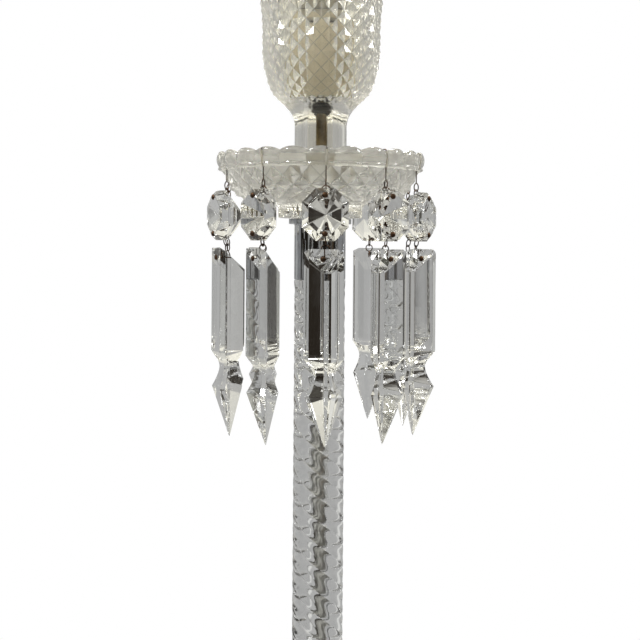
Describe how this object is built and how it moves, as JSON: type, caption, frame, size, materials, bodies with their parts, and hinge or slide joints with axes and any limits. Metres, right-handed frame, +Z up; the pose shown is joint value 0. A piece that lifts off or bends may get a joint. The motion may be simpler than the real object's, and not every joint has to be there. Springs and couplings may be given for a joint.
{
  "type": "torch table lamp",
  "caption": "Cut-crystal table lamp: twisted column on a domed foot, scalloped drip pan hung with prisms on wire links, and a hurricane shade over a candle-style bulb.",
  "frame": {"origin": "centre of the foot's underside, on the surface that the lamp stands on", "axes": "+Z up along the column, -Y towards the viewer in the picture, +X to the viewer's right"},
  "size_m": [0.19, 0.19, 0.6901],
  "materials": {
    "crystal": "clear cut lead crystal, polished facets",
    "nickel": "polished nickel, slightly dulled",
    "bronze_wire": "browned brass wire",
    "bronze_tube": "dull threaded brass, browned",
    "dark_metal": "dark turned metal",
    "black_phenolic": "moulded, matt",
    "candle_sleeve": "beige, matt",
    "bulb_glass": "frosted, warm",
    "clear_gasket": "translucent washer",
    "felt": "wool felt"
  },
  "bodies": {
    "lamp": {"felt_pad": "felt", "foot": "crystal", "cord_bushing": "nickel", "base_washer": "nickel", "base_nut": "nickel", "foot_gasket": "clear_gasket", "lower_collar": "nickel", "column": "crystal", "upper_ferrule": "nickel", "threaded_tube": "bronze_tube", "drip_pan": "crystal", "shade_gasket": "clear_gasket", "shade": "crystal", "neck_nut": "dark_metal", "clamp_disc": "nickel", "lamp_holder": "black_phenolic", "candle_sleeve": "candle_sleeve", "bulb_cap": "nickel", "bulb": "bulb_glass", "rim_hook_1": "bronze_wire", "rim_hook_2": "bronze_wire", "rim_hook_3": "bronze_wire", "rim_hook_4": "bronze_wire", "rim_hook_5": "bronze_wire", "rim_hook_6": "bronze_wire", "rim_hook_7": "bronze_wire", "rim_hook_8": "bronze_wire", "rim_hook_9": "bronze_wire", "rim_hook_10": "bronze_wire"},
    "bead_1": {"bead_1": "crystal"},
    "pendant_1": {"pendant_1": "crystal", "pendant_pin_1": "bronze_wire"},
    "bead_2": {"bead_2": "crystal"},
    "pendant_2": {"pendant_2": "crystal", "pendant_pin_2": "bronze_wire"},
    "bead_3": {"bead_3": "crystal"},
    "pendant_3": {"pendant_3": "crystal", "pendant_pin_3": "bronze_wire"},
    "bead_4": {"bead_4": "crystal"},
    "pendant_4": {"pendant_4": "crystal", "pendant_pin_4": "bronze_wire"},
    "bead_5": {"bead_5": "crystal"},
    "pendant_5": {"pendant_5": "crystal", "pendant_pin_5": "bronze_wire"},
    "bead_6": {"bead_6": "crystal"},
    "pendant_6": {"pendant_6": "crystal", "pendant_pin_6": "bronze_wire"},
    "bead_7": {"bead_7": "crystal"},
    "pendant_7": {"pendant_7": "crystal", "pendant_pin_7": "bronze_wire"},
    "bead_8": {"bead_8": "crystal"},
    "pendant_8": {"pendant_8": "crystal", "pendant_pin_8": "bronze_wire"},
    "bead_9": {"bead_9": "crystal"},
    "pendant_9": {"pendant_9": "crystal", "pendant_pin_9": "bronze_wire"},
    "bead_10": {"bead_10": "crystal"},
    "pendant_10": {"pendant_10": "crystal", "pendant_pin_10": "bronze_wire"}
  },
  "joints": [
    {"name": "bead_1_swing", "type": "hinge", "parent": "lamp", "child": "bead_1", "pos_m": [0.00406, -0.07749, 0.4558], "axis": [-0.9986, -0.0523, 0], "range_deg": [-5, 30]},
    {"name": "pendant_1_swing", "type": "hinge", "parent": "bead_1", "child": "pendant_1", "pos_m": [0.00406, -0.07749, 0.4123], "axis": [-0.9986, -0.0523, 0], "range_deg": [-5, 30]},
    {"name": "bead_2_swing", "type": "hinge", "parent": "lamp", "child": "bead_2", "pos_m": [0.04884, -0.06031, 0.4558], "axis": [-0.7771, -0.6293, 0], "range_deg": [-5, 30]},
    {"name": "pendant_2_swing", "type": "hinge", "parent": "bead_2", "child": "pendant_2", "pos_m": [0.04884, -0.06031, 0.4123], "axis": [-0.7771, -0.6293, 0], "range_deg": [-5, 30]},
    {"name": "bead_3_swing", "type": "hinge", "parent": "lamp", "child": "bead_3", "pos_m": [0.07496, -0.02008, 0.4558], "axis": [-0.2588, -0.9659, 0], "range_deg": [-5, 30]},
    {"name": "pendant_3_swing", "type": "hinge", "parent": "bead_3", "child": "pendant_3", "pos_m": [0.07496, -0.02008, 0.4123], "axis": [-0.2588, -0.9659, 0], "range_deg": [-5, 30]},
    {"name": "bead_4_swing", "type": "hinge", "parent": "lamp", "child": "bead_4", "pos_m": [0.07245, 0.02781, 0.4558], "axis": [0.3584, -0.9336, 0], "range_deg": [-5, 30]},
    {"name": "pendant_4_swing", "type": "hinge", "parent": "bead_4", "child": "pendant_4", "pos_m": [0.07245, 0.02781, 0.4123], "axis": [0.3584, -0.9336, 0], "range_deg": [-5, 30]},
    {"name": "bead_5_swing", "type": "hinge", "parent": "lamp", "child": "bead_5", "pos_m": [0.04226, 0.06508, 0.4558], "axis": [0.8387, -0.5446, 0], "range_deg": [-5, 30]},
    {"name": "pendant_5_swing", "type": "hinge", "parent": "bead_5", "child": "pendant_5", "pos_m": [0.04226, 0.06508, 0.4123], "axis": [0.8387, -0.5446, 0], "range_deg": [-5, 30]},
    {"name": "bead_6_swing", "type": "hinge", "parent": "lamp", "child": "bead_6", "pos_m": [-0.00406, 0.07749, 0.4558], "axis": [0.9986, 0.0523, 0], "range_deg": [-5, 30]},
    {"name": "pendant_6_swing", "type": "hinge", "parent": "bead_6", "child": "pendant_6", "pos_m": [-0.00406, 0.07749, 0.4123], "axis": [0.9986, 0.0523, 0], "range_deg": [-5, 30]},
    {"name": "bead_7_swing", "type": "hinge", "parent": "lamp", "child": "bead_7", "pos_m": [-0.04884, 0.06031, 0.4558], "axis": [0.7771, 0.6293, 0], "range_deg": [-5, 30]},
    {"name": "pendant_7_swing", "type": "hinge", "parent": "bead_7", "child": "pendant_7", "pos_m": [-0.04884, 0.06031, 0.4123], "axis": [0.7771, 0.6293, 0], "range_deg": [-5, 30]},
    {"name": "bead_8_swing", "type": "hinge", "parent": "lamp", "child": "bead_8", "pos_m": [-0.07496, 0.02008, 0.4558], "axis": [0.2588, 0.9659, 0], "range_deg": [-5, 30]},
    {"name": "pendant_8_swing", "type": "hinge", "parent": "bead_8", "child": "pendant_8", "pos_m": [-0.07496, 0.02008, 0.4123], "axis": [0.2588, 0.9659, 0], "range_deg": [-5, 30]},
    {"name": "bead_9_swing", "type": "hinge", "parent": "lamp", "child": "bead_9", "pos_m": [-0.07245, -0.02781, 0.4558], "axis": [-0.3584, 0.9336, 0], "range_deg": [-5, 30]},
    {"name": "pendant_9_swing", "type": "hinge", "parent": "bead_9", "child": "pendant_9", "pos_m": [-0.07245, -0.02781, 0.4123], "axis": [-0.3584, 0.9336, 0], "range_deg": [-5, 30]},
    {"name": "bead_10_swing", "type": "hinge", "parent": "lamp", "child": "bead_10", "pos_m": [-0.04226, -0.06508, 0.4558], "axis": [-0.8387, 0.5446, 0], "range_deg": [-5, 30]},
    {"name": "pendant_10_swing", "type": "hinge", "parent": "bead_10", "child": "pendant_10", "pos_m": [-0.04226, -0.06508, 0.4123], "axis": [-0.8387, 0.5446, 0], "range_deg": [-5, 30]}
  ]
}
